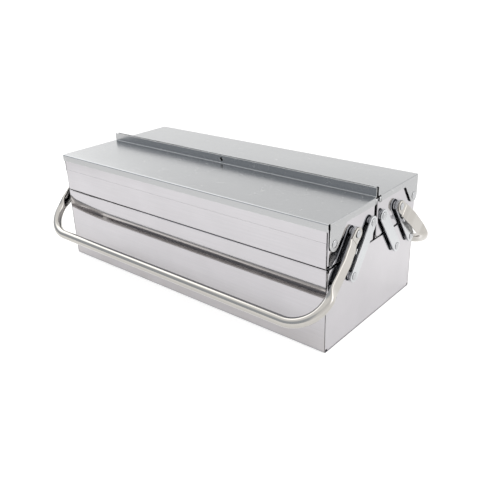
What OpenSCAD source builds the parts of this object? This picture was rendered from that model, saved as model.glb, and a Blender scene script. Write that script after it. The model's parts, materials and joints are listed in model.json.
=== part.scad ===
// Cantilever tool box in bright zinc-coated sheet steel.
// A base compartment carries two open trays on pairs of parallel links; each tray
// has its own hinged lid and its own tubular carrying handle.
// Millimetres, +Z up, origin at the middle of the underside, front towards -Y.

/* [Box] */
// Length of the box over its end panels
box_length = 450; // [300:10:600]
// Depth of the closed box from front to back
box_depth = 200; // [180:5:260]
// Height of the base compartment up to its rim
base_height = 101.5; // [90:0.5:140]
// Height of each tray
tray_height = 51.4; // [45:0.1:70]
// Thickness of the sheet steel
sheet = 0.8; // [0.6:0.1:1]
// Outside radius of the folded edges
bend = 1.6; // [1.2:0.1:3]
// Depth of the hem folded inwards along the base rim
base_hem = 8; // [5:0.5:12]
// Depth of the hem folded inwards along the tray rims
tray_hem = 6; // [4:0.5:8]
// Width of the flanges that join the end panels to the shells
flange = 8; // [5:0.5:14]
// Size of the open notch at the corners of the end panels, beside their folds
notch_margin = 1.8; // [0.5:0.1:2]
// Distance that the folded sheet of a tray stops short of the outside of its end panels
tray_inset = 1.2; // [0.3:0.1:1.4]
// Gap between the two trays at the middle of the box
tray_gap = 5; // [2:0.5:6]
// Gap under the closed trays
seam_gap = 1; // [0.3:0.1:1.5]
// Height above the tray floor at which the tray wall steps inwards
wall_step_height = 30; // [20:0.5:38]
// Depth of the step in the tray wall
wall_step = 0.2; // [0.1:0.05:0.5]

/* [Lids] */
// Gap between the tray rims and the lids
lid_gap = 0.3; // [0.2:0.1:1]
// Depth of the lip folded down along the outer edge of a lid
lip_depth = 9; // [6:0.5:12]
// Height of the flange folded up along the inner edge of a lid
upstand_height = 10.5; // [8:0.5:16]
// Gap between the two upright flanges
upstand_gap = 4.4; // [3:0.1:8]
// Clearance between a lid's lip and the tray wall
lip_clearance = 0.5; // [0.3:0.1:1.5]
// Depth of the flap folded down at each end of a lid
flap_depth = 8; // [6:0.5:10]
// Distance of the flaps from the tray's end panels
flap_standoff = 1.4; // [1:0.1:1.7]
// Distance of the flaps from the upright flange
flap_inset = 4; // [3:0.5:8]
// Width of the open slit at each outer corner of a lid
corner_slit = 2.8; // [1:0.1:4]
// Height of the lid pivots above the tray's underside
lid_pivot_height = 27.5; // [20:0.5:32]
// Width of the hinge ear at its root
ear_width = 31.5; // [24:0.5:36]
// Radius of the hinge ear round its pivot
ear_radius = 8.5; // [6:0.5:9]
// Diameter of the padlock hole
padlock_hole = 5.5; // [4:0.1:7]
// Distance of the padlock hole from the middle of the box
padlock_offset = -6; // [-60:1:60]

/* [Links] */
// Width of a link
link_width = 15; // [12:0.5:18]
// Thickness of a link
link_thickness = 1.6; // [1.2:0.1:2]
// Distance between the two link pivots of a tray
pivot_spacing = 37.6; // [30:0.2:44]
// Sideways lean of a closed link between its pivots
link_lean = 37.6; // [30:0.2:44]
// Height of the link pivots above the tray's underside
tray_pivot_height = 26; // [20:0.5:34]
// Depth of the link pivots below the base rim
base_pivot_depth = 24.8; // [18:0.2:34]
// Thickness of the spacer washers under the links
spacer_thickness = 2.6; // [1.6:0.1:3]
// Diameter of the spacer washers
spacer_diameter = 11; // [9:0.5:12]
// Diameter of the rivet shanks
rivet_shank = 5; // [4:0.1:6]
// Diameter of the rivet heads
rivet_head = 9; // [8:0.5:10]
// Height of the rivet heads
rivet_head_height = 1.2; // [0.8:0.1:1.2]
// Diameter of the upset rivet tails inside the end panels
rivet_tail = 7.2; // [6:0.1:9]
// Height of the upset rivet tails
tail_height = 1; // [0.6:0.1:1.4]

/* [Handles] */
// Diameter of the handle tube
tube_diameter = 12; // [10:0.5:14]
// Distance from a handle's pivots to the middle of its grip
handle_reach = 118; // [106:1:122]
// Radius of the handle's corners along the middle of the tube
handle_corner = 41; // [34:1:46]
// Radius of the round eye at each tube end
eye_radius = 7.5; // [6.5:0.5:8]
// Distance from a pivot to the shoulders below the eye
eye_shoulder = 11; // [9:0.5:14]
// Width of the flattened tube ends
flat_width = 17.5; // [16:0.5:19]
// Thickness of the flattened tube ends
flat_thickness = 2.6; // [2:0.1:4]
// Length over which a flattened arm turns into the round tube
turn_length = 11; // [9:0.5:14]
// Distance that the arms are cranked outwards between the flattened ends and the tube
crank = 3.9; // [3.4:0.1:5]
// Distance from a pivot to the end of the sharp part of the crank
crank_bend = 20; // [17:1:26]
// Length of the gentle part of the crank below it
crank_ease = 18; // [12:1:20]
// Share of the crank that is made in its sharp part
crank_share = 0.56; // [0.4:0.02:0.7]
// Angle of the resting handle from straight down
handle_rest_angle = 48.5; // [46:0.5:60]
// Width of the stop tab folded out of an outer link
stop_tab = 6; // [4:0.5:8]
// Distance that the stop tabs reach out past the flattened ends
stop_reach = 1.6; // [0:0.1:2]

/* [Hidden] */
$fn = 48;
arm_facets = 24;     // round the long edges of a flattened arm
tube_facets = 32;    // round the end of the turn into the tube
swing_facets = 96;   // round the large arc of a tray's upper corner

// Fits
running = 0.07;      // radial play of a rivet in the part that turns on it
seated = 0.05;       // radial play of a rivet in the wall that it is set in
play = 0.1;          // side play of a link or ear between its washer and rivet head
joint_gap = 0.3;     // gap at the cut ends of a shell and of its hems
handle_play = 0.3;   // side play between an outer link and the handle on it
over = 1;            // how far cutting shapes and joined pieces run past each other
slice = 0.1;         // height of the thin sections that an arm's taper is drawn between

// Overall levels and distances
end_x = box_length / 2;
side_y = box_depth / 2;
shell_x = end_x - joint_gap;
tray_shell_x = end_x - tray_inset;
hem_x = end_x - flange - joint_gap;
notch = bend + notch_margin;
tray_floor = base_height + seam_gap;
tray_rim = tray_floor + tray_height;
tray_inner = tray_gap / 2;
lid_top = tray_rim + lid_gap + sheet;
lid_inner = upstand_gap / 2;
lid_outer = side_y + lip_clearance + sheet;
wall_step_z = tray_floor + wall_step_height;
plate_x = end_x + flap_standoff - sheet;
inner_bend = max(bend - sheet, 0.2);

// Pivots, as distances from the middle of the box and heights
outer_top = [box_depth / 4, tray_floor + tray_pivot_height];
inner_top = outer_top - [pivot_spacing, 0];
inner_bottom = [inner_top[0] + link_lean, base_height - base_pivot_depth];
outer_bottom = [outer_top[0] + link_lean, inner_bottom[1]];
lid_pivot = [lid_outer - corner_slit - ear_radius, tray_floor + lid_pivot_height];

// A lid swings past the outer rim of its tray, which stays inside this radius of the pivot
swing_radius = tray_rim - lid_pivot[1];
outer_rim = lid_pivot[1] + sqrt(pow(swing_radius, 2) - pow(side_y - lid_pivot[0], 2));

// Layers outside the end panels
link_x = end_x + spacer_thickness + play;
link_face = link_x + link_thickness;
handle_x = link_face + handle_play;
handle_face = handle_x + flat_thickness;
flap_x = end_x + flap_standoff;
flat_x = handle_x + flat_thickness / 2;
tube_x = flat_x + crank;

// Links
link_rise = outer_top[1] - outer_bottom[1];
link_length = norm([link_lean, link_rise]);
link_angle = atan2(link_lean, link_rise);

// Handles
arm_length = handle_reach - handle_corner;
// Stations down an arm: distance from the pivot and how far the flat is cranked out there
arm_stations = [
    [eye_shoulder, 0], [crank_bend, crank_share * crank],
    [crank_bend + crank_ease, crank], [arm_length - turn_length, crank]
];
// Distance down an outer link to the point where the resting handle's edge crosses it
stop_turn = handle_rest_angle - link_angle;
stop_edge = link_width / 2 - link_thickness;
stop_distance = (flat_width / 2 + handle_play - stop_edge * cos(stop_turn)) / sin(stop_turn);

// ---- Placing -------------------------------------------------------------

// A YZ outline extruded along X from x0 to x1
module along_x(x0, x1) {
    translate([x0, 0, 0]) rotate([90, 0, 90]) linear_extrude(x1 - x0) children();
}

// An XZ outline extruded along Y from y0 to y1
module along_y(y0, y1) {
    translate([0, y1, 0]) rotate([90, 0, 0]) linear_extrude(y1 - y0) children();
}

// Pieces are drawn on the rear right quarter and mirrored to the others
module front() { mirror([0, 1, 0]) children(); }
module left() { mirror([1, 0, 0]) children(); }
module both_ends() { children(); left() children(); }

// ---- Sheet metal outlines --------------------------------------------------

// Rectangle with its two lower corners rounded
module channel_outline(x0, x1, y0, y1, r) {
    translate([x0 + r, y0]) square([x1 - x0 - 2 * r, y1 - y0]);
    translate([x0, y0 + r]) square([x1 - x0, y1 - y0 - r]);
    for (x = [x0 + r, x1 - r]) translate([x, y0 + r]) circle(r);
}

// Sheet folded into a channel that is open at the top
module channel(x0, x1, y0, y1) {
    difference() {
        channel_outline(x0, x1, y0, y1, bend);
        channel_outline(x0 + sheet, x1 - sheet, y0 + sheet, y1 + over, inner_bend);
    }
}

// Round edge of a rim that is folded back on itself, and the folded layer under it
module rim_edge(x, rim) { translate([x + sheet, rim - sheet]) circle(sheet); }
module hem_layer(x, rim, depth) { translate([x, rim - depth]) square([2 * sheet, depth - sheet]); }

// Rectangle from the origin with its far upper corner rounded
module corner_outline(w, h, r) {
    square([w - r, h]);
    square([w, h - r]);
    translate([w - r, h - r]) circle(r);
}

// Sheet w long that turns down over a depth h at its far end
module fold(w, h) {
    difference() {
        corner_outline(w, h, bend);
        translate([-over, -over]) corner_outline(w + over - sheet, h + over - sheet, inner_bend);
    }
}

// ---- End panels ------------------------------------------------------------

// One side of a pressed panel, turned inwards into a flange at the wall at y and notched by n
module side_flange(y, foot, top, n) {
    translate([end_x - flange, y - n - over, foot + n])
        linear_extrude(top - foot - 2 * n) fold(flange, n + over);
}

// Pressed panel between two walls at y0 and y1: its foot and sides turn inwards into
// flanges, its rim into a hem, and its corners are notched beside the folds
module end_pan(y0, y1, foot, rim, hem_depth, side_tops, notches) {
    along_y(y0 + notches[0], y1 - notches[1]) {
        translate([end_x - flange, rim - sheet]) mirror([0, 1]) fold(flange, rim - sheet - foot);
        hem_layer(end_x - 2 * sheet, rim, hem_depth);
        rim_edge(end_x - 2 * sheet, rim);
    }
    side_flange(y1, foot, side_tops[1], notches[1]);
    mirror([0, 1, 0]) side_flange(-y0, foot, side_tops[0], notches[0]);
}

// Hole through an end panel for a rivet shank
module wall_hole(p) {
    translate([end_x - 3 * sheet, p[0], p[1]]) rotate([0, 90, 0])
        cylinder(r = rivet_shank / 2 + seated, h = 6 * sheet);
}

// ---- Base compartment ------------------------------------------------------

module base_shell() {
    color("#cfcdce") {
        along_x(-shell_x, shell_x) {
            channel(-side_y, side_y, 0, base_height - sheet);
            rim_edge(-side_y, base_height);
            rim_edge(side_y - 2 * sheet, base_height);
        }
        along_x(-hem_x, hem_x)
            for (y = [-side_y, side_y - 2 * sheet]) hem_layer(y, base_height, base_hem);
    }
}

module base_end() {
    wall = side_y - sheet;
    color("#d5d3d6") difference() {
        end_pan(-wall, wall, sheet, base_height, base_hem, [base_height, base_height], [notch, notch]);
        for (p = [inner_bottom, outer_bottom], side = [-1, 1]) wall_hole([side * p[0], p[1]]);
    }
}

// ---- Trays -------------------------------------------------------------------

// The outer wall steps inwards above the fold line, so the lid's lip lies nearly flush
module tray_profile() {
    difference() {
        channel(tray_inner, side_y, tray_floor, tray_rim - sheet);
        translate([side_y - sheet - over, wall_step_z]) square([sheet + 2 * over, tray_height]);
    }
    translate([side_y - wall_step - sheet, wall_step_z - sheet / 2])
        square([sheet, outer_rim - wall_step_z - sheet / 2]);
    rim_edge(tray_inner, tray_rim);
    rim_edge(side_y - wall_step - 2 * sheet, outer_rim);
}

module tray_shell() {
    color("#d2cfcf") {
        along_x(-tray_shell_x, tray_shell_x) tray_profile();
        along_x(-hem_x, hem_x) {
            hem_layer(tray_inner, tray_rim, tray_hem);
            hem_layer(side_y - wall_step - 2 * sheet, outer_rim, tray_hem);
        }
    }
}

module tray_end() {
    color("#cfced1") difference() {
        end_pan(tray_inner + sheet, side_y - wall_step - sheet, tray_floor + sheet, tray_rim,
                tray_hem, [tray_rim, outer_rim], [bend + joint_gap, notch]);
        for (p = [inner_top, outer_top, lid_pivot]) wall_hole(p);
        // upper outer corner, rounded about the lid's pivot
        along_x(end_x - 2 * sheet - over, end_x + over) translate(lid_pivot) difference() {
            square(swing_radius + over);
            circle(swing_radius, $fn = swing_facets);
        }
    }
}

// ---- Lids --------------------------------------------------------------------

// The ear tapers from its foot on the flap to a round end about the pivot
ear_front = lid_pivot[0] + ear_radius;
ear_foot = [ear_front - ear_width, lid_top - flap_depth];
ear_reach = norm(ear_foot - lid_pivot);
ear_turn = atan2(ear_foot[1] - lid_pivot[1], ear_foot[0] - lid_pivot[0]) + acos(ear_radius / ear_reach);
ear_touch = lid_pivot + ear_radius * [cos(ear_turn), sin(ear_turn)];

module ear_outline() {
    polygon([
        ear_foot, ear_touch, lid_pivot, [ear_front, lid_pivot[1]],
        [ear_front, lid_top - bend], [ear_foot[0], lid_top - bend]
    ]);
    translate(lid_pivot) circle(ear_radius);
}

// Plate with its lip and its upright flange, and a flap with a hinge ear at each end
module lid() {
    middle = (lid_inner + lid_outer) / 2;
    color("#c9cacb") difference() {
        union() {
            along_x(-plate_x, plate_x) {
                translate([middle, lid_top - lip_depth]) fold(lid_outer - middle, lip_depth);
                translate([middle + over, lid_top + upstand_height])
                    rotate(180) fold(middle + over - lid_inner, upstand_height + sheet);
            }
            both_ends() {
                along_y(lid_inner + flap_inset, ear_front)
                    translate([plate_x - bend, lid_top - flap_depth])
                        fold(flap_x + sheet - plate_x + bend, flap_depth);
                along_x(flap_x, flap_x + sheet) ear_outline();
            }
        }
        both_ends() translate([flap_x - sheet, lid_pivot[0], lid_pivot[1]]) rotate([0, 90, 0])
            cylinder(r = rivet_shank / 2 + running, h = 3 * sheet);
        translate([padlock_offset, lid_inner - over, lid_top + upstand_height / 2]) rotate([-90, 0, 0])
            cylinder(d = padlock_hole, h = sheet + 2 * over);
    }
}

// ---- Links -------------------------------------------------------------------

// Flat bar with round ends, hanging from its upper pivot
module link_bar() {
    difference() {
        union() {
            translate([-link_width / 2, -link_length]) square([link_width, link_length]);
            for (z = [0, -link_length]) translate([0, z]) circle(d = link_width);
        }
        for (z = [0, -link_length]) translate([0, z]) circle(r = rivet_shank / 2 + running);
    }
}

module link(top) {
    color("#dcddde") translate([0, top[0], top[1]]) rotate([link_angle, 0, 0])
        along_x(link_x, link_face) link_bar();
}

// The outer link has a tab folded outwards, on which the resting handle lies
module outer_link() {
    link(outer_top);
    color("#dcddde") translate([0, outer_top[0], outer_top[1]]) rotate([link_angle, 0, 0])
        translate([link_x, -link_width / 2, -stop_distance - stop_tab])
            cube([handle_face + stop_reach - link_x, link_thickness, stop_tab]);
}

// ---- Handles -----------------------------------------------------------------

module tube_disc() {
    translate([tube_x, 0, 0]) cylinder(d = tube_diameter, h = slice, $fn = tube_facets);
}

// Section of the flattened tube with round long edges, at one station of the arm
module flat_slab(station) {
    for (side = [-1, 1])
        translate([flat_x + station[1], side * (flat_width - flat_thickness) / 2, -station[0] - slice / 2])
            cylinder(d = flat_thickness, h = slice, $fn = arm_facets);
}

// Right arm hanging from its pivot: round eye, shoulders, cranked flat, and the turn into the tube
module handle_arm() {
    last = len(arm_stations) - 1;
    difference() {
        union() {
            along_x(handle_x, handle_face) {
                circle(eye_radius);
                translate([-eye_radius, -eye_shoulder - slice])
                    square([2 * eye_radius, eye_shoulder + slice]);
            }
            for (i = [1 : last]) hull() {
                flat_slab(arm_stations[i - 1]);
                flat_slab(arm_stations[i]);
            }
            hull() {
                flat_slab(arm_stations[last]);
                translate([0, 0, -arm_length]) tube_disc();
            }
        }
        translate([handle_x - over, 0, 0]) rotate([0, 90, 0])
            cylinder(r = rivet_shank / 2 + running, h = flat_thickness + 2 * over);
    }
}

// The grip with its two corners, between the arms
module grip_bar() {
    grip_x = tube_x - handle_corner;
    both_ends() translate([grip_x, 0, -arm_length]) rotate([-90, 0, 0])
        rotate_extrude(angle = 90) translate([handle_corner, 0]) circle(d = tube_diameter);
    translate([-grip_x, 0, -handle_reach]) rotate([0, 90, 0]) cylinder(d = tube_diameter, h = 2 * grip_x);
}

// Turned from hanging straight down to where the handle rests on its stop tabs
module resting() {
    color("#ddd9d3") translate([0, outer_top[0], outer_top[1]])
        rotate([handle_rest_angle, 0, 0]) children();
}

// ---- Rivets and spacers --------------------------------------------------------

// Rivet along X from its tail inside the end panel to the head whose seat is at seat_x
module rivet(p, seat_x) {
    dome = (pow(rivet_head / 2, 2) + pow(rivet_head_height, 2)) / (2 * rivet_head_height);
    inside = end_x - sheet;
    translate([inside, p[0], p[1]]) rotate([0, 90, 0]) rotate_extrude() {
        translate([0, -tail_height]) square([rivet_tail / 2, tail_height]);
        square([rivet_shank / 2, seat_x - inside]);
        intersection() {
            translate([0, seat_x - inside + rivet_head_height - dome]) circle(dome);
            translate([0, seat_x - inside]) square([rivet_head / 2, rivet_head_height]);
        }
    }
}

module spacer(p, thickness) {
    translate([end_x, p[0], p[1]]) rotate([0, 90, 0]) difference() {
        cylinder(d = spacer_diameter, h = thickness);
        translate([0, 0, -over]) cylinder(r = rivet_shank / 2 + seated, h = thickness + 2 * over);
    }
}

module base_link_rivets() {
    color("#d8d8d8") both_ends()
        for (p = [inner_bottom, outer_bottom]) {
            rivet(p, link_face + play);
            front() rivet(p, link_face + play);
        }
}

module base_link_spacers() {
    color("#c4c4c4") both_ends()
        for (p = [inner_bottom, outer_bottom]) {
            spacer(p, spacer_thickness);
            front() spacer(p, spacer_thickness);
        }
}

module link_rivets() { color("#d8d8d8") both_ends() rivet(inner_top, link_face + play); }
module handle_rivets() { color("#d8d8d8") both_ends() rivet(outer_top, handle_face + play); }
module lid_rivets() { color("#d8d8d8") both_ends() rivet(lid_pivot, flap_x + sheet + play); }
module lid_spacers() { color("#c4c4c4") both_ends() spacer(lid_pivot, flap_standoff - play); }
module link_spacers() {
    color("#c4c4c4") both_ends()
        for (p = [inner_top, outer_top]) spacer(p, spacer_thickness);
}

// ---- Assembly ------------------------------------------------------------------

base_shell();
left() base_end();  // base_end_left
base_end();  // base_end_right
base_link_rivets();
base_link_spacers();
front() tray_shell();  // front_tray_shell
front() left() tray_end();  // front_tray_end_left
front() tray_end();  // front_tray_end_right
tray_shell();  // rear_tray_shell
left() tray_end();  // rear_tray_end_left
tray_end();  // rear_tray_end_right
front() lid();  // front_lid
lid();  // rear_lid
front() left() outer_link();  // front_outer_link_left
front() outer_link();  // front_outer_link_right
front() left() link(inner_top);  // front_inner_link_left
front() link(inner_top);  // front_inner_link_right
left() outer_link();  // rear_outer_link_left
outer_link();  // rear_outer_link_right
left() link(inner_top);  // rear_inner_link_left
link(inner_top);  // rear_inner_link_right
front() resting() grip_bar();  // front_handle_grip
front() left() resting() handle_arm();  // front_handle_arm_left
front() resting() handle_arm();  // front_handle_arm_right
resting() grip_bar();  // rear_handle_grip
left() resting() handle_arm();  // rear_handle_arm_left
resting() handle_arm();  // rear_handle_arm_right
front() link_rivets();  // front_link_rivets
link_rivets();  // rear_link_rivets
front() handle_rivets();  // front_handle_rivets
handle_rivets();  // rear_handle_rivets
front() lid_rivets();  // front_lid_rivets
lid_rivets();  // rear_lid_rivets
front() link_spacers();  // front_link_spacers
link_spacers();  // rear_link_spacers
front() lid_spacers();  // front_lid_spacers
lid_spacers();  // rear_lid_spacers
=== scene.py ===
import json
import math

import bmesh
import bpy
from mathutils import Matrix, Vector


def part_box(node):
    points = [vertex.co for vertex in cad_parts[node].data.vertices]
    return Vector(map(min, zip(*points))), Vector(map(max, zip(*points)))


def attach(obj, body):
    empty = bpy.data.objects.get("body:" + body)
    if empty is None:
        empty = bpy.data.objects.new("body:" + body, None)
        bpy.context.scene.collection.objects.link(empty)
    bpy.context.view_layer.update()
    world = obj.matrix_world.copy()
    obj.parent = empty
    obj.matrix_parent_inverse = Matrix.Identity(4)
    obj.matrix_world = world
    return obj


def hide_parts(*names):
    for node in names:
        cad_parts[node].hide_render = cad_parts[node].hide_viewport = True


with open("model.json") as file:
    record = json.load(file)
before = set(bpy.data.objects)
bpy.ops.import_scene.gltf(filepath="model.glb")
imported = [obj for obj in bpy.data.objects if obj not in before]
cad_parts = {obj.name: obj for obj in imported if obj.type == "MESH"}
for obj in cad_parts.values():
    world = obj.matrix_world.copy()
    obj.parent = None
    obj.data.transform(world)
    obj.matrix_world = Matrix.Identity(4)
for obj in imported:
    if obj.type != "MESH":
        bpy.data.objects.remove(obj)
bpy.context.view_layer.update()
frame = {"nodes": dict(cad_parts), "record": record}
scene = bpy.context.scene
print("frame loaded:", len(frame["nodes"]), "solids")

mm = 0.001
slotOf = {part["node"]: part["material_slot"] for part in frame["record"]["subparts"]}
bodyOf = {node: body for body, nodes in frame["record"]["behaviour"]["bodies"].items()
          for node in nodes}
jointPlace = {joint["name"]: joint["pos_m"] for joint in frame["record"]["behaviour"]["joints"]}
sides = {"front": -1, "rear": 1}
ends = {"left": -1, "right": 1}


def hexColour(code):
    # sRGB hex to linear, with full alpha
    parts = [int(code[i:i + 2], 16) / 255 for i in (0, 2, 4)]
    linear = [c / 12.92 if c <= 0.04045 else ((c + 0.055) / 1.055) ** 2.4 for c in parts]
    return (*linear, 1.0)


def addNode(tree, kind, inputs=None, **settings):
    # one node with its settings; an input is either a value or another node's socket
    node = tree.nodes.new(kind)
    for name, value in settings.items():
        setattr(node, name, value)
    for key, value in (inputs or {}).items():
        if isinstance(value, bpy.types.NodeSocket):
            tree.links.new(value, node.inputs[key])
        else:
            node.inputs[key].default_value = value
    return node


def setRamp(ramp, stops):
    # stops are (place, hex colour or grey value)
    elements = ramp.color_ramp.elements
    while len(elements) > 1:
        elements.remove(elements[-1])
    for i, (place, colour) in enumerate(stops):
        element = elements[0] if i == 0 else elements.new(place)
        element.position = place
        element.color = hexColour(colour) if isinstance(colour, str) else (colour, colour, colour, 1)
    return ramp


# camera

view = {
    "place": (0.5309, -0.5851, 0.3933),  # metres
    "azimuth": 40.90,  # degrees round from the front towards the right end
    "elevation": 23.74,
    "roll": -2.04,
    "focalPixels": 612.8,  # focal length in pixels of a 480 pixel wide frame
    "centrePixel": (242.6, 237.3),  # where the optical axis meets the frame
    "framePixels": 480,
    "sensor": 36.0,
}


def makeCamera():
    azimuth, elevation, roll = (math.radians(view[k]) for k in ("azimuth", "elevation", "roll"))
    back = Vector((math.cos(elevation) * math.sin(azimuth),
                   -math.cos(elevation) * math.cos(azimuth), math.sin(elevation)))
    right = (-back).cross(Vector((0, 0, 1))).normalized()
    up = back.cross(right)
    tiltedRight = math.cos(roll) * right + math.sin(roll) * up
    tiltedUp = -math.sin(roll) * right + math.cos(roll) * up
    data = bpy.data.cameras.new("camera")
    data.sensor_width = view["sensor"]
    data.lens = view["focalPixels"] / view["framePixels"] * view["sensor"]
    middle = view["framePixels"] / 2
    data.shift_x = (middle - view["centrePixel"][0]) / view["framePixels"]
    data.shift_y = (view["centrePixel"][1] - middle) / view["framePixels"]
    data.clip_start, data.clip_end = 0.01, 100
    camera = bpy.data.objects.new("camera", data)
    turned = Matrix((tiltedRight, tiltedUp, back)).transposed().to_4x4()
    camera.matrix_world = Matrix.Translation(view["place"]) @ turned
    scene.collection.objects.link(camera)
    scene.camera = camera


makeCamera()
print("camera placed")

# studio: table of opal acrylic lit from below, soft dome with a darker side in front

studio = {
    "acrylic": "C9C8C7",
    "glow": 0.585,  # light coming up through the table, which keeps it white under the box
    "farGlow": 0.43,  # the same, away from the lamp
    "lampPlace": (-0.08, -0.1),
    "lampStretch": 1.4,  # how many times longer than wide the lamp's light is
    "glowFade": (0.33, 0.58),  # metres from the lamp over which it fades
    "floorSize": 12.0,  # metres across
    "horizon": 1.22,  # brightness of the far wall at the horizon, behind the box
    "wall": 1.05,  # the same wall higher up
    "ceiling": 1.25,  # higher still
    # heights at which these begin and end, from 0 at the horizon to 1 overhead
    "dome": {"haze": 0.22, "wallFrom": 0.38, "wallTo": 0.6, "ceilingFrom": 0.74},
    "hazeShare": 0.98,  # how bright the haze is against the horizon
    "darkSide": "C9CFD6",  # unlit side of the room, in front and to the left
    "darkDirection": (-0.64, -0.77, 0.0),
    "darkSpread": (0.25, 0.7),  # cosines from its middle between which it sets in
    "darkHeight": (0.72, 0.52),  # heights between which it sets in, from above
    "window": 1.6,  # soft window to the right and a little behind
    "windowDirection": (0.86, 0.3, 0.41),
    "windowSpread": (0.8, 0.95),
    "softBox": 1.4,  # large soft box high on the left
    "softBoxDirection": (-0.8, 0.15, 0.58),
    "softBoxSpread": (0.87, 0.97),
    "strength": 1.0,
}


def facingShare(tree, place, part):
    # how nearly a direction of the dome points at one part of the studio: 1 is straight at it
    share = addNode(tree, "ShaderNodeVectorMath", {
        0: place.outputs["Generated"], 1: studio[part + "Direction"]}, operation="DOT_PRODUCT")
    return share.outputs["Value"]


def fadeIn(tree, value, spread, full=1.0):
    return addNode(tree, "ShaderNodeMapRange", {
        "Value": value, "From Min": spread[0], "From Max": spread[1], "To Max": full},
        interpolation_type="SMOOTHSTEP").outputs["Result"]


def makeStudio():
    bpy.ops.mesh.primitive_plane_add(size=studio["floorSize"], location=(0, 0, 0))
    floor = bpy.context.object
    floor.name = "studio_floor"
    acrylic = bpy.data.materials.new("opalAcrylic")  # sand-blasted sheet: glows evenly, no gloss
    acrylic.use_nodes = True
    shader = acrylic.node_tree.nodes["Principled BSDF"]
    shader.inputs["Base Color"].default_value = hexColour(studio["acrylic"])
    shader.inputs["Roughness"].default_value = 1.0
    shader.inputs["Specular IOR Level"].default_value = 0.0
    shader.inputs["Emission Color"].default_value = (1, 1, 1, 1)
    spot = addNode(acrylic.node_tree, "ShaderNodeTexCoord").outputs["Object"]
    lampX, lampY = studio["lampPlace"]
    stretch = 1 / studio["lampStretch"]
    shifted = addNode(acrylic.node_tree, "ShaderNodeMapping", {
        "Vector": spot, "Location": (-lampX * stretch, -lampY, 0), "Scale": (stretch, 1, 1)})
    away = addNode(acrylic.node_tree, "ShaderNodeVectorMath", {0: shifted.outputs[0]}, operation="LENGTH")
    fadeFrom, fadeTo = studio["glowFade"]
    glow = addNode(acrylic.node_tree, "ShaderNodeMapRange", {
        "Value": away.outputs["Value"], "From Min": fadeFrom, "From Max": fadeTo,
        "To Min": studio["glow"], "To Max": studio["farGlow"]}, interpolation_type="SMOOTHSTEP")
    acrylic.node_tree.links.new(glow.outputs["Result"], shader.inputs["Emission Strength"])
    floor.data.materials.append(acrylic)

    world = bpy.data.worlds.new("studioDome")
    scene.world = world
    world.use_nodes = True
    tree = world.node_tree
    tree.nodes.clear()
    place = addNode(tree, "ShaderNodeTexCoord")
    split = addNode(tree, "ShaderNodeSeparateXYZ", {0: place.outputs["Generated"]})
    # brightness by height above the horizon
    dome = studio["dome"]
    height = setRamp(addNode(tree, "ShaderNodeValToRGB", {"Fac": split.outputs["Z"]}), [
        (0.0, studio["horizon"]), (dome["haze"], studio["horizon"] * studio["hazeShare"]),
        (dome["wallFrom"], studio["wall"]), (dome["wallTo"], studio["wall"]),
        (dome["ceilingFrom"], studio["ceiling"]), (1.0, studio["ceiling"])])
    # the darker side, fading out upwards
    towards = fadeIn(tree, facingShare(tree, place, "dark"), studio["darkSpread"])
    lowDown = fadeIn(tree, split.outputs["Z"], studio["darkHeight"])
    dark = addNode(tree, "ShaderNodeMath", {0: towards, 1: lowDown}, operation="MULTIPLY")
    mixed = addNode(tree, "ShaderNodeMix", {0: dark.outputs[0], 6: height.outputs["Color"],
                    7: hexColour(studio["darkSide"])}, data_type="RGBA")
    lit = mixed.outputs[2]
    for lamp in ("window", "softBox"):
        bright = fadeIn(tree, facingShare(tree, place, lamp), studio[lamp + "Spread"], studio[lamp])
        lit = addNode(tree, "ShaderNodeVectorMath", {0: lit, 1: bright}, operation="ADD").outputs[0]
    background = addNode(tree, "ShaderNodeBackground", {"Color": lit, "Strength": studio["strength"]})
    output = addNode(tree, "ShaderNodeOutputWorld")
    tree.links.new(background.outputs[0], output.inputs["Surface"])
    scene.view_settings.view_transform = "Standard"


makeStudio()
print("studio lit")

# materials

finishes = {
    # zinc-coated, temper-rolled sheet: clear reflections, smeared a little along the rolling direction
    "zincSheet": {"colour": "BBB9BC", "wornAndHighlight": "CFCDCB", "roughness": 0.06, "smear": 0.03, "wave": 0.05,
                  "scratches": 0.3, "clouds": 0.045},
    # the same sheet on the lids, rubbed dull by hands and by what was put down on it
    "rubbedZincSheet": {"colour": "AEAFB0", "wornAndHighlight": "E6E6E4", "roughness": 0.25, "smear": 0.03, "wave": 0.05,
                        "scratches": 0.8, "clouds": 0.02},
    # barrel zinc-plated strip: softer reflections, edges tumbled round, and lighter from wear and a painted
    # highlight
    "tumbledZincStrip": {"colour": "C0C2C4", "wornAndHighlight": "D8D8D6", "roughness": 0.2, "smear": 0.05, "wave": 0.015,
                         "scratches": 0.5, "clouds": 0.04},
    # nickel-plated drawn tube: warm and mirror-like, faint drawing lines along the tube
    "nickelTube": {"colour": "B4B1AC", "wornAndHighlight": "D2CDC4", "roughness": 0.07, "smear": 0.03, "wave": 0.01,
                   "scratches": 0.35, "clouds": 0.03},
    # zinc-plated rivet, cold headed: slightly dull dome
    "zincRivet": {"colour": "B3B4B6", "wornAndHighlight": "D2D2D0", "roughness": 0.16, "smear": 0.04, "wave": 0.015,
                  "scratches": 0.3, "clouds": 0.05, "crevice": 1.6},
}
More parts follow.
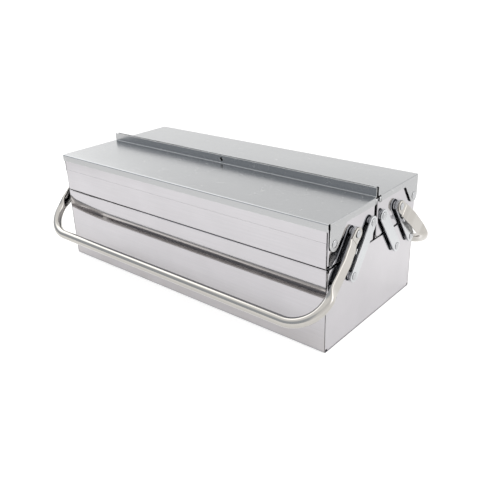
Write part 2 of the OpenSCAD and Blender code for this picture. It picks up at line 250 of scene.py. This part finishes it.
pattern = {
    "streakPitch": 1.2,  # mm across one rolling streak; real ones are about 0.1 mm and wouldn't show
    "streakStretch": 60.0,  # how many times longer than wide a streak is
    "blotch": 45.0,  # mm across one cloudy patch in the zinc
    "waveLength": 95.0,  # mm from one shallow hollow of the sheet to the next
    "scratchField": 26.0,  # mm across one field bounded by scratches
    "scratchWidth": 0.006,  # share of a field that a scratch takes, so about 0.15 mm
    "scratchPatch": 9.0,  # mm across one patch where scratches show
    "scratchShow": (0.58, 0.66),  # noise between which they set in, so that few are kept
    "wear": 0.6,  # mm from an edge that is painted lighter, partly rubbed wear and partly a painted highlight along the bend
    "wearPatch": 6.0,  # mm across one rubbed patch of an edge
    "crevice": 8.0,  # mm; gaps narrower than about half of this get the painted shade
    # colour of the painted shade in gaps and behind links and arms
    "paintedGapShade": "4D545B",
    "paintedGapShadeOpen": (0.62, 0.15),  # share of open sky at which the painted shade begins and is full
    "dullness": 0.35,  # roughness that scratches and the painted gap shade add
    "dentDepth": 0.02,  # mm
    "cloudSpan": (0.6, 1.4),  # range of streaks and clouds added together
    "seam": 0.85,  # mm of each wall's end painted dark as the shade in the lap seam's groove; really half of that
    # colour of the painted seam shade
    "seamShadeColour": "2B2927",
    "seamSlack": 0.4,  # mm by which a tray's seam starts further out than the base's
    "trayFrom": 0.7,  # mm above the base's rim where the trays begin
    "hollow": 1.6,  # mm that the walls are drawn in between their stiff rims and folds
    "foot": 48.0,  # mm up from the floor over which the walls get a painted shade, standing for the shaded floor that they reflect
    # colour of the painted shade at the foot
    "footShadeColour": "A19A93",
    "footMost": 0.32,  # share of the painted shade right at the floor
    "footPatch": 30.0,  # mm across one patch of the painted shade
}


def noise(tree, place, size, detail=2.0, stretch=1.0):
    # cloudy pattern with patches of the given size in mm, drawn out along X
    scaled = addNode(tree, "ShaderNodeMapping", {"Vector": place, "Scale": (
        1 / (size * stretch * mm), 1 / (size * mm), 1 / (size * mm))})
    return addNode(tree, "ShaderNodeTexNoise", {"Vector": scaled.outputs[0], "Scale": 1.0,
                   "Detail": detail}).outputs["Fac"]


def remap(tree, value, low, high, toLow=0.0, toHigh=1.0):
    return addNode(tree, "ShaderNodeMapRange", {"Value": value, "From Min": low, "From Max": high,
                   "To Min": toLow, "To Max": toHigh}).outputs["Result"]


def maths(tree, operation, first, second=0.0):
    return addNode(tree, "ShaderNodeMath", {0: first, 1: second}, operation=operation).outputs[0]


def blend(tree, factor, first, second):
    return addNode(tree, "ShaderNodeMix", {0: factor, 6: first, 7: second}, data_type="RGBA").outputs[2]


def paintedWallShade(tree, place, zinc):
    # front and rear walls: painted shade where they meet the end panels and towards the foot
    axes = addNode(tree, "ShaderNodeSeparateXYZ", {0: place}).outputs
    normal = addNode(tree, "ShaderNodeTexCoord").outputs["Normal"]
    facing = addNode(tree, "ShaderNodeSeparateXYZ", {0: normal}).outputs["Y"]
    wall = remap(tree, maths(tree, "ABSOLUTE", facing), 0.8, 0.95)
    # painted shade of the seam's groove along each wall's ends, further out on the trays
    reach = maths(tree, "ABSOLUTE", axes["X"])
    onTray = maths(tree, "GREATER_THAN", axes["Z"], (wallTop + pattern["trayFrom"]) * mm)
    shift = maths(tree, "MULTIPLY", onTray, (wallEnd - trayEnd - pattern["seamSlack"]) * mm)
    reach = maths(tree, "ADD", reach, shift)
    seam = maths(tree, "GREATER_THAN", reach, (wallEnd - pattern["seam"]) * mm)
    zinc = blend(tree, maths(tree, "MULTIPLY", seam, wall), zinc, hexColour(pattern["seamShadeColour"]))
    # painted shade growing towards the foot, in patches
    low = remap(tree, axes["Z"], pattern["foot"] * mm, 0.0, 0.0, pattern["footMost"])
    patchy = remap(tree, noise(tree, place, pattern["footPatch"], 3.0), 0.35, 0.65, 0.5, 1.0)
    dull = maths(tree, "MULTIPLY", maths(tree, "MULTIPLY", low, patchy), wall)
    return blend(tree, dull, zinc, hexColour(pattern["footShadeColour"]))


def makeMetal(name):
    finish = finishes[name]
    metal = bpy.data.materials.new(name)
    metal.use_nodes = True
    tree = metal.node_tree
    shader = tree.nodes["Principled BSDF"]
    shader.inputs["Metallic"].default_value = 1.0
    place = addNode(tree, "ShaderNodeTexCoord").outputs["Object"]

    # lighter and darker clouds and rolling streaks in the zinc
    streaks = noise(tree, place, pattern["streakPitch"], 3.0, pattern["streakStretch"])
    clouds = noise(tree, place, pattern["blotch"], 4.0)
    both = maths(tree, "ADD", streaks, clouds)
    least, most = pattern["cloudSpan"]
    shade = remap(tree, both, least, most, 1 - finish["clouds"], 1 + finish["clouds"])
    zinc = addNode(tree, "ShaderNodeVectorMath", {0: hexColour(finish["colour"])[:3], "Scale": shade},
                   operation="SCALE").outputs[0]

    # edges rubbed bright, unevenly; the lighter edge is partly a painted highlight along the bends
    flat = addNode(tree, "ShaderNodeNewGeometry").outputs["Normal"]
    rounded = addNode(tree, "ShaderNodeBevel", {"Radius": pattern["wear"] * mm}, samples=4).outputs["Normal"]
    turned = addNode(tree, "ShaderNodeVectorMath", {0: flat, 1: rounded}, operation="DOT_PRODUCT")
    rubbedAndHighlitEdge = maths(tree, "MULTIPLY", remap(tree, turned.outputs["Value"], 0.99, 0.9),
                   remap(tree, noise(tree, place, pattern["wearPatch"], 3.0), 0.35, 0.6))
    zinc = blend(tree, rubbedAndHighlitEdge, zinc, hexColour(finish["wornAndHighlight"]))

    # scratches: borders of large cells, kept only here and there
    cells = addNode(tree, "ShaderNodeTexVoronoi", {
        "Vector": place, "Scale": 1 / (pattern["scratchField"] * mm)}, feature="DISTANCE_TO_EDGE")
    line = remap(tree, cells.outputs["Distance"], pattern["scratchWidth"], 0.0)
    kept = remap(tree, noise(tree, place, pattern["scratchPatch"], 2.0), *pattern["scratchShow"])
    scratch = maths(tree, "MULTIPLY", maths(tree, "MULTIPLY", line, kept), finish["scratches"])
    zinc = blend(tree, scratch, zinc, hexColour(finish["wornAndHighlight"]))

    # painted shade at the walls' seams and foot
    if name == "zincSheet":
        zinc = paintedWallShade(tree, place, zinc)

    # painted shade in the narrow gaps and behind links and arms, darkened by ambient occlusion
    crevice = finish.get("crevice", pattern["crevice"])
    openness = addNode(tree, "ShaderNodeAmbientOcclusion", {"Distance": crevice * mm}, samples=6)
    paintedGapShade = remap(tree, openness.outputs["AO"], *pattern["paintedGapShadeOpen"])
    tree.links.new(blend(tree, paintedGapShade, zinc, hexColour(pattern["paintedGapShade"])), shader.inputs["Base Color"])

    # smeared roughness, duller where it is scratched and under the painted gap shade
    smear = remap(tree, both, least, most, finish["roughness"] - finish["smear"],
                  finish["roughness"] + finish["smear"])
    spoilt = maths(tree, "MULTIPLY", maths(tree, "ADD", scratch, paintedGapShade), pattern["dullness"])
    dull = maths(tree, "ADD", smear, spoilt)
    tree.links.new(dull, shader.inputs["Roughness"])

    # shallow hollows left by rolling and folding
    waves = noise(tree, place, pattern["waveLength"], 1.0)
    bump = addNode(tree, "ShaderNodeBump", {
        "Height": waves, "Strength": 1.0, "Distance": finish["wave"] * mm})
    if name == "zincSheet":
        height = addNode(tree, "ShaderNodeSeparateXYZ", {0: place}).outputs["Z"]
        share = remap(tree, height, 0.0, wallTop * mm, -1.0, 1.0)
        bowl = maths(tree, "MULTIPLY", share, share)
        hollow = addNode(tree, "ShaderNodeBump", {
            "Height": bowl, "Strength": 1.0, "Distance": pattern["hollow"] * mm})
        tree.links.new(hollow.outputs["Normal"], bump.inputs["Normal"])
    dents = addNode(tree, "ShaderNodeBump", {
        "Height": scratch, "Strength": 0.4, "Distance": pattern["dentDepth"] * mm,
        "Normal": bump.outputs["Normal"]}, invert=True)
    tree.links.new(dents.outputs["Normal"], shader.inputs["Normal"])
    return metal


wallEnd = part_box("base_shell")[1][0] / mm
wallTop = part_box("base_shell")[1][2] / mm
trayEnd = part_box("front_tray_shell")[1][0] / mm
metals = {name: makeMetal(name) for name in finishes}
slotFinish = {"panel_steel": "zincSheet", "lid_steel": "rubbedZincSheet", "link_steel": "tumbledZincStrip",
              "handle_steel": "nickelTube", "rivet_steel": "zincRivet"}
print("materials made:", len(metals))


def addPiece(name, mesh, body, slot, *nodes):
    # one finished piece on its body, standing for the CAD nodes named
    piece = bpy.data.objects.new(name, mesh)
    scene.collection.objects.link(piece)
    mesh.materials.append(metals[slotFinish[slot]])
    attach(piece, body)
    if nodes:
        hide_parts(*nodes)
    return piece


def newMesh(name, points, faces):
    # mesh from points in mm, normals outwards
    mesh = bpy.data.meshes.new(name)
    mesh.from_pydata([[c * mm for c in point] for point in points], [], faces)
    shape = bmesh.new()
    shape.from_mesh(mesh)
    bmesh.ops.recalc_face_normals(shape, faces=shape.faces)
    shape.to_mesh(mesh)
    shape.free()
    mesh.polygons.foreach_set("use_smooth", [True] * len(mesh.polygons))
    return mesh


# sheet parts, links and washers: the solids with their sharp edges broken

edges = {
    "angle": 28,  # degrees; sharper edges than this get a rounding
    "panel_steel": 0.14,  # mm, deburred sheet
    "lid_steel": 0.45,  # hemmed edges
    "link_steel": 0.35,  # barrel-tumbled strip
    "rivet_steel": 0.2,
    "rounds": 2,  # facets across a rounding
}


def breakEdges(node):
    source = frame["nodes"][node]
    shape = bmesh.new()
    shape.from_mesh(source.data)
    bmesh.ops.remove_doubles(shape, verts=shape.verts, dist=1e-6)
    bmesh.ops.dissolve_limit(shape, angle_limit=math.radians(0.5), verts=shape.verts, edges=shape.edges)
    shape.verts.index_update()
    points = [[c / mm for c in vert.co] for vert in shape.verts]
    faces = [[vert.index for vert in face.verts] for face in shape.faces]
    shape.free()
    slot = slotOf[node]
    piece = addPiece(node + "_finished", newMesh(node + "_finished", points, faces), bodyOf[node], slot, node)
    bevel = piece.modifiers.new("brokenEdges", "BEVEL")
    bevel.width = edges[slot] * mm
    bevel.segments = edges["rounds"]
    bevel.limit_method = "ANGLE"
    bevel.angle_limit = math.radians(edges["angle"])
    bevel.harden_normals = True
    bevel.use_clamp_overlap = True


for node in frame["nodes"]:
    if slotOf[node] in ("panel_steel", "lid_steel", "link_steel") or node.endswith("spacers"):
        breakEdges(node)
print("edges broken")

# folds that stiffen the lids' inner edges and the rim of the base

folds = {
    "hemThickness": 0.9,  # mm that the hem of the upright flange adds on its inner side
    "hemHeight": 2.2,
    "hemShort": 3.0,  # mm that the hem stops short of the flange's ends
    "hemSunk": 0.3,  # mm that it runs into the flange
    "flangeShort": 1.6,  # mm that the flange ends short of the flaps' outer faces
    "flangeRise": 10.5,  # mm from the lid's top to the flange's
    "flapDrop": 18.5,  # mm from the flange's top to the flaps' lower edge
    "toeThickness": 1.0,
    "toeStart": 0.5,  # mm from the flange's inner face to where a toe begins
    "toeSunk": 0.4,  # mm that it runs into the flap
    "toeLength": 3.5,  # mm by which a flap reaches on towards the flange under the relief cut
    "relief": 1.6,  # mm, height of the cut
    "round": 0.45,
    "beadRise": 0.55,  # mm that the rolled rim stands above the base's walls
    "beadWidth": 1.3,
    "beadDepth": 1.4,
    "beadSunk": 0.02,  # mm that it stays inside the wall's outer face
}


def barAlongX(low, high, radius):
    # bar with rounded edges between two corners (X, Y, Z) in mm
    outline = []
    corners = ((high[1] - radius, high[2] - radius), (low[1] + radius, high[2] - radius),
               (low[1] + radius, low[2] + radius), (high[1] - radius, low[2] + radius))
    for i, corner in enumerate(corners):
        for j in range(4):
            turn = math.pi / 2 * (i + j / 3)
            outline.append((corner[0] + radius * math.cos(turn), corner[1] + radius * math.sin(turn)))
    count = len(outline)
    points = [(x, y, z) for x in (low[0], high[0]) for y, z in outline]
    faces = [[i, (i + 1) % count, (i + 1) % count + count, i + count] for i in range(count)]
    return points, faces + [list(range(count)), list(range(count, 2 * count))]


def addBars(name, bars, body, slot):
    points, faces = [], []
    for low, high in bars:
        barPoints, barFaces = barAlongX(low, high, folds["round"])
        faces += [[index + len(points) for index in face] for face in barFaces]
        points += barPoints
    addPiece(name, newMesh(name, points, faces), body, slot)


def makeFolds(side):
    lid = [[c / mm for c in corner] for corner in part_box(side + "_lid")]
    inner = min(abs(lid[0][1]), abs(lid[1][1]))
    reach, top = lid[1][0], lid[1][2]
    flangeEnd = reach - folds["flangeShort"]
    bars = [((-flangeEnd + folds["hemShort"], inner - folds["hemThickness"], top - folds["hemHeight"]),
             (flangeEnd - folds["hemShort"], inner + folds["hemSunk"], top))]
    flapFoot, lidTop = top - folds["flapDrop"], top - folds["flangeRise"]
    toeStart = inner + folds["toeStart"]
    for end in ends.values():
        near, far = sorted((end * (reach - folds["toeThickness"]), end * reach))
        bars.append(((near, toeStart, flapFoot),
                     (far, toeStart + folds["toeLength"] + folds["toeSunk"], lidTop - folds["relief"])))
    if side == "front":
        bars = [((low[0], -high[1], low[2]), (high[0], -low[1], high[2])) for low, high in bars]
    addBars(side + "_lid_folds", bars, bodyOf[side + "_lid"], "lid_steel")


def makeBeads():
    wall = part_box("base_shell")[1][1] / mm - folds["beadSunk"]
    reach = trayEnd - folds["round"]
    bottom, top = wallTop + folds["beadRise"] - folds["beadDepth"], wallTop + folds["beadRise"]
    bars = [((-reach, -wall, bottom), (reach, folds["beadWidth"] - wall, top)),
            ((-reach, wall - folds["beadWidth"], bottom), (reach, wall, top))]
    addBars("base_rim_beads", bars, bodyOf["base_shell"], "panel_steel")


for side in sides:
    makeFolds(side)
makeBeads()
print("folds made")

# rivets: low domed heads with a rolled rim, upset tails inside

rivet = {
    "shank": 5.0, "head": 9.0, "headHeight": 1.2, "tail": 7.2, "tailHeight": 1.0,  # mm, as on the solids
    "rim": 0.3,  # mm, rounding of the head's edge
    "crown": 9,  # rings across the dome of a head
    "panel": 0.8,  # mm, thickness of an end panel
    "around": 48,
}


def lathe(profile, around, place, outward):
    # profile of (radius, reach along X) turned about an axis through place
    points, faces = [], []
    for radius, reach in profile:
        for i in range(around):
            turn = 2 * math.pi * i / around
            points.append((place[0] + outward * reach, place[1] + radius * math.cos(turn),
                           place[2] + radius * math.sin(turn)))
    for j in range(len(profile) - 1):
        for i in range(around):
            k = (i + 1) % around
            faces.append([j * around + i, j * around + k, (j + 1) * around + k, (j + 1) * around + i])
    faces.append(list(range(around)))
    faces.append([(len(profile) - 1) * around + i for i in range(around)])
    return points, faces


def rivetProfile(length):
    # from the tail's end inside to the middle of the head, length from the wall's inside to the seat
    shank, head, tail = rivet["shank"] / 2, rivet["head"] / 2, rivet["tail"] / 2
    rim, height, tailHeight = rivet["rim"], rivet["headHeight"], rivet["tailHeight"]
    profile = [(tail * 0.55, -tailHeight), (tail - rim, -tailHeight * 0.85), (tail, -tailHeight + rim * 1.4),
               (tail, -rim * 0.3), (tail - rim * 0.3, 0), (shank, 0), (shank, length), (head - rim, length)]
    for i in range(4):
        turn = math.radians(30 * i)
        profile.append((head - rim + rim * math.sin(turn), length + rim - rim * math.cos(turn)))
    for i in range(rivet["crown"]):
        share = 1 - (i + 1) / (rivet["crown"] + 0.4)
        profile.append(((head - rim * 0.2) * share, length + rim + (height - rim) * (1 - share ** 2.2)))
    return profile


def makeRivets(node, places, reach):
    # places are (Y, Z) in mm; reach is how far the head's seat is from the inside of the end panel
    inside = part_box(node)[1][0] / mm - rivet["headHeight"] - reach
    points, faces = [], []
    for place in places:
        for outward in ends.values():
            start = (outward * inside, *place)
            ringPoints, ringFaces = lathe(rivetProfile(reach), rivet["around"], start, outward)
            faces += [[index + len(points) for index in face] for face in ringFaces]
            points += ringPoints
    mesh = newMesh(node + "_finished", points, faces)
    addPiece(node + "_finished", mesh, bodyOf[node], slotOf[node], node)


def nodePlaces(node):
    # (Y, Z) in mm of every rivet of a node, from its mesh: rivets are apart by more than their head
    spots = []
    for vert in frame["nodes"][node].data.vertices:
        spot = (vert.co.y / mm, vert.co.z / mm)
        if all(math.dist(spot, known[0]) > rivet["head"] * 1.2 for known in spots):
            spots.append([spot, [], []])
        for known in spots:
            if math.dist(spot, known[0]) <= rivet["head"] * 1.2:
                known[1].append(spot[0])
                known[2].append(spot[1])
    return [((min(ys) + max(ys)) / 2, (min(zs) + max(zs)) / 2) for _, ys, zs in spots]


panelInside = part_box("base_end_right")[1][0] / mm - rivet["panel"]
for node in frame["nodes"]:
    if node.endswith("rivets"):
        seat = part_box(node)[1][0] / mm - rivet["headHeight"]
        makeRivets(node, nodePlaces(node), seat - panelInside)
print("rivets set")

# handles: one tube each, pressed flat and cranked at its ends

handle = {
    "diameter": 12.0,
    "reach": 118.0,  # mm from the pivots to the middle of the grip
    "corner": 41.0,
    "rest": 48.5,  # degrees from straight down
    "sag": {"front": 1.5, "rear": 0.0},  # mm that use has bent the right corner down
    "sagFrom": 40.0,  # mm from the pivots where that bend begins
    "flatX": 230.9,  # mm from the middle of the box to the middle of the flattened ends
    "tubeX": 234.8,  # mm to the middle of the tube
    "flatThickness": 2.6,
    "eye": 7.5,  # mm, radius of the eye
    "bore": 2.6,
    "shoulder": 11.0,
    "crankBend": 20.0,  # mm from the pivot to where the first step of the crank ends
    "crankEnd": 38.0,  # and the second
    "crankShares": (0.56, 0.44),  # of the way outwards that each step goes
    "shoulderWidth": 0.86,  # width of the flat at its shoulders against further down
    "skin": 0.06,  # mm that the drawn flat is thicker than the solid
    "step": 1.5,  # mm from one section of an arm to the next
    "cornerSteps": 30,
    "flatLength": 66.0,
    "roundLength": 82.0,  # mm from the pivot to where the section is fully round
    "around": 48,
    "eyeAround": 72,
    "eyeEdge": 0.45,  # mm, rounding of the eye's edges
    "neck": 0.4,  # mm that the eye runs on into the arm
}


def smooth(share):
    share = min(max(share, 0.0), 1.0)
    return share * share * (3 - 2 * share)


def tubeSection(thickness):
    # points round a flattened tube, evenly spaced along its wall: (across the flat, through it)
    radius = thickness / 2
    half = (handle["diameter"] - thickness) * math.pi / 4
    wall = 2 * math.pi * radius + 4 * half
    points = []
    for i in range(handle["around"]):
        run = wall * (i + 0.5) / handle["around"]
        lap, quarter = divmod(run, wall / 2)
        sign = 1 if lap == 0 else -1
        if quarter < 2 * half:
            points.append((sign * (half - quarter), sign * radius))
        else:
            turn = (quarter - 2 * half) / radius
            points.append((sign * (-half - radius * math.sin(turn)), sign * radius * math.cos(turn)))
    return points


def handleStations():
    # (place in the handle's plane, direction, thickness) from one eye to the middle of the grip;
    # the plane's axes are X and the distance down from the pivots
    arm = handle["reach"] - handle["corner"]
    stations = []
    down = handle["shoulder"] - 1.0
    before, after = handle["crankShares"]
    while down < arm:
        crank = before * smooth((down - handle["shoulder"]) / (handle["crankBend"] - handle["shoulder"]))
        crank += after * smooth((down - handle["crankBend"]) / (handle["crankEnd"] - handle["crankBend"]))
        across = handle["flatX"] + (handle["tubeX"] - handle["flatX"]) * crank
        stations.append(((across, down), (0.0, 1.0)))
        down += handle["step"]
    for i in range(handle["cornerSteps"] + 1):
        turn = math.pi / 2 * i / handle["cornerSteps"]
        stations.append(((handle["tubeX"] - handle["corner"] * (1 - math.cos(turn)),
                          arm + handle["corner"] * math.sin(turn)), (-math.sin(turn), math.cos(turn))))
    along = handle["tubeX"] - handle["corner"]
    for share in (0.85, 0.6, 0.3, 0.0):
        stations.append(((along * share, handle["reach"]), (-1.0, 0.0)))
    return stations


def thicknessAt(run):
    # run is the length along the tube from the pivot
    share = smooth((run - handle["flatLength"]) / (handle["roundLength"] - handle["flatLength"]))
    flat, skin = handle["flatThickness"], handle["skin"]
    return flat + skin + (handle["diameter"] - flat - skin) * share


def atRest(pivot, sign, rest, point):
    # a point of a handle that hangs straight down, turned to where the handle rests
    x, across, down = point
    return (x, pivot[1] + sign * (across * math.cos(rest) + down * math.sin(rest)),
            pivot[2] + across * math.sin(rest) - down * math.cos(rest))


def makeHandle(side):
    sign = sides[side]
    pivot = [c / mm for c in jointPlace[side + "_handle_hinge"]]
    rest = math.radians(handle["rest"])
    rows = []
    run = 0.0
    last = None
    for (across, down), (alongX, alongDown) in handleStations():
        run = down if last is None else run + math.dist(last, (across, down))
        last = (across, down)
        thickness = thicknessAt(run)
        width = 1.0 if down > handle["shoulder"] else handle["shoulderWidth"]
        rows.append([(across + through * alongDown, spread * width, down - through * alongX)
                     for spread, through in tubeSection(thickness)])
    other = [[(-x, p, d) for x, p, d in row] for row in rows[:-1]]
    rows = rows + other[::-1]
    points, faces = [], []
    count = handle["around"]
    for j, row in enumerate(rows):
        for x, p, d in row:
            bent = smooth((d - handle["sagFrom"]) / (handle["reach"] - handle["sagFrom"]))
            lean = (x / handle["tubeX"] + 1) / 2 * bent
            points.append(atRest(pivot, sign, rest, (x, p - handle["sag"][side] * lean, d)))
        if j:
            for i in range(count):
                k = (i + 1) % count
                faces.append([(j - 1) * count + i, (j - 1) * count + k, j * count + k, j * count + i])
    faces.append(list(range(count)))
    faces.append([(len(rows) - 1) * count + i for i in range(count)])
    for end in ends.values():
        eyePoints, eyeFaces = makeEye(end)
        faces += [[index + len(points) for index in face] for face in eyeFaces]
        points += [atRest(pivot, sign, rest, point) for point in eyePoints]
    mesh = newMesh(side + "_handle", points, faces)
    nodes = [node for node in frame["nodes"] if node.startswith(side + "_handle_") and "rivets" not in node]
    addPiece(side + "_handle", mesh, side + "_handle", "handle_steel", *nodes)


def makeEye(end):
    # flat ring round the pivot with a neck down to the shoulders, edges rounded
    near = handle["flatX"] - handle["flatThickness"] / 2
    far = handle["flatX"] + handle["flatThickness"] / 2
    edge = handle["eyeEdge"]
    bore, eye = handle["bore"], handle["eye"]
    around = handle["eyeAround"]

    def outline(turn):
        # distance to the outline at an angle from straight down
        aside, down = math.sin(turn), math.cos(turn)
        if down <= 0:
            return eye
        return min(eye / max(abs(aside), 1e-6), (handle["shoulder"] + handle["neck"]) / down)

    # each loop is (1 on the outline or 0 on the bore, shift outwards, X)
    loops = [(0, edge * 0.5, near + edge * 0.5), (0, edge, near),
             (1, -edge, near), (1, -edge * 0.3, near + edge * 0.3),
             (1, 0, near + edge), (1, 0, far - edge),
             (1, -edge * 0.3, far - edge * 0.3), (1, -edge, far),
             (0, edge, far), (0, edge * 0.5, far - edge * 0.5),
             (0, 0, far - edge), (0, 0, near + edge)]
    points, faces = [], []
    for outer, shift, x in loops:
        for i in range(around):
            turn = 2 * math.pi * i / around
            radius = (outline(turn) if outer else bore) + shift
            points.append((end * x, radius * math.sin(turn), radius * math.cos(turn)))
    for j in range(len(loops)):
        n = (j + 1) % len(loops)
        for i in range(around):
            k = (i + 1) % around
            faces.append([j * around + i, j * around + k, n * around + k, n * around + i])
    return points, faces


for side in sides:
    makeHandle(side)
print("handles made")
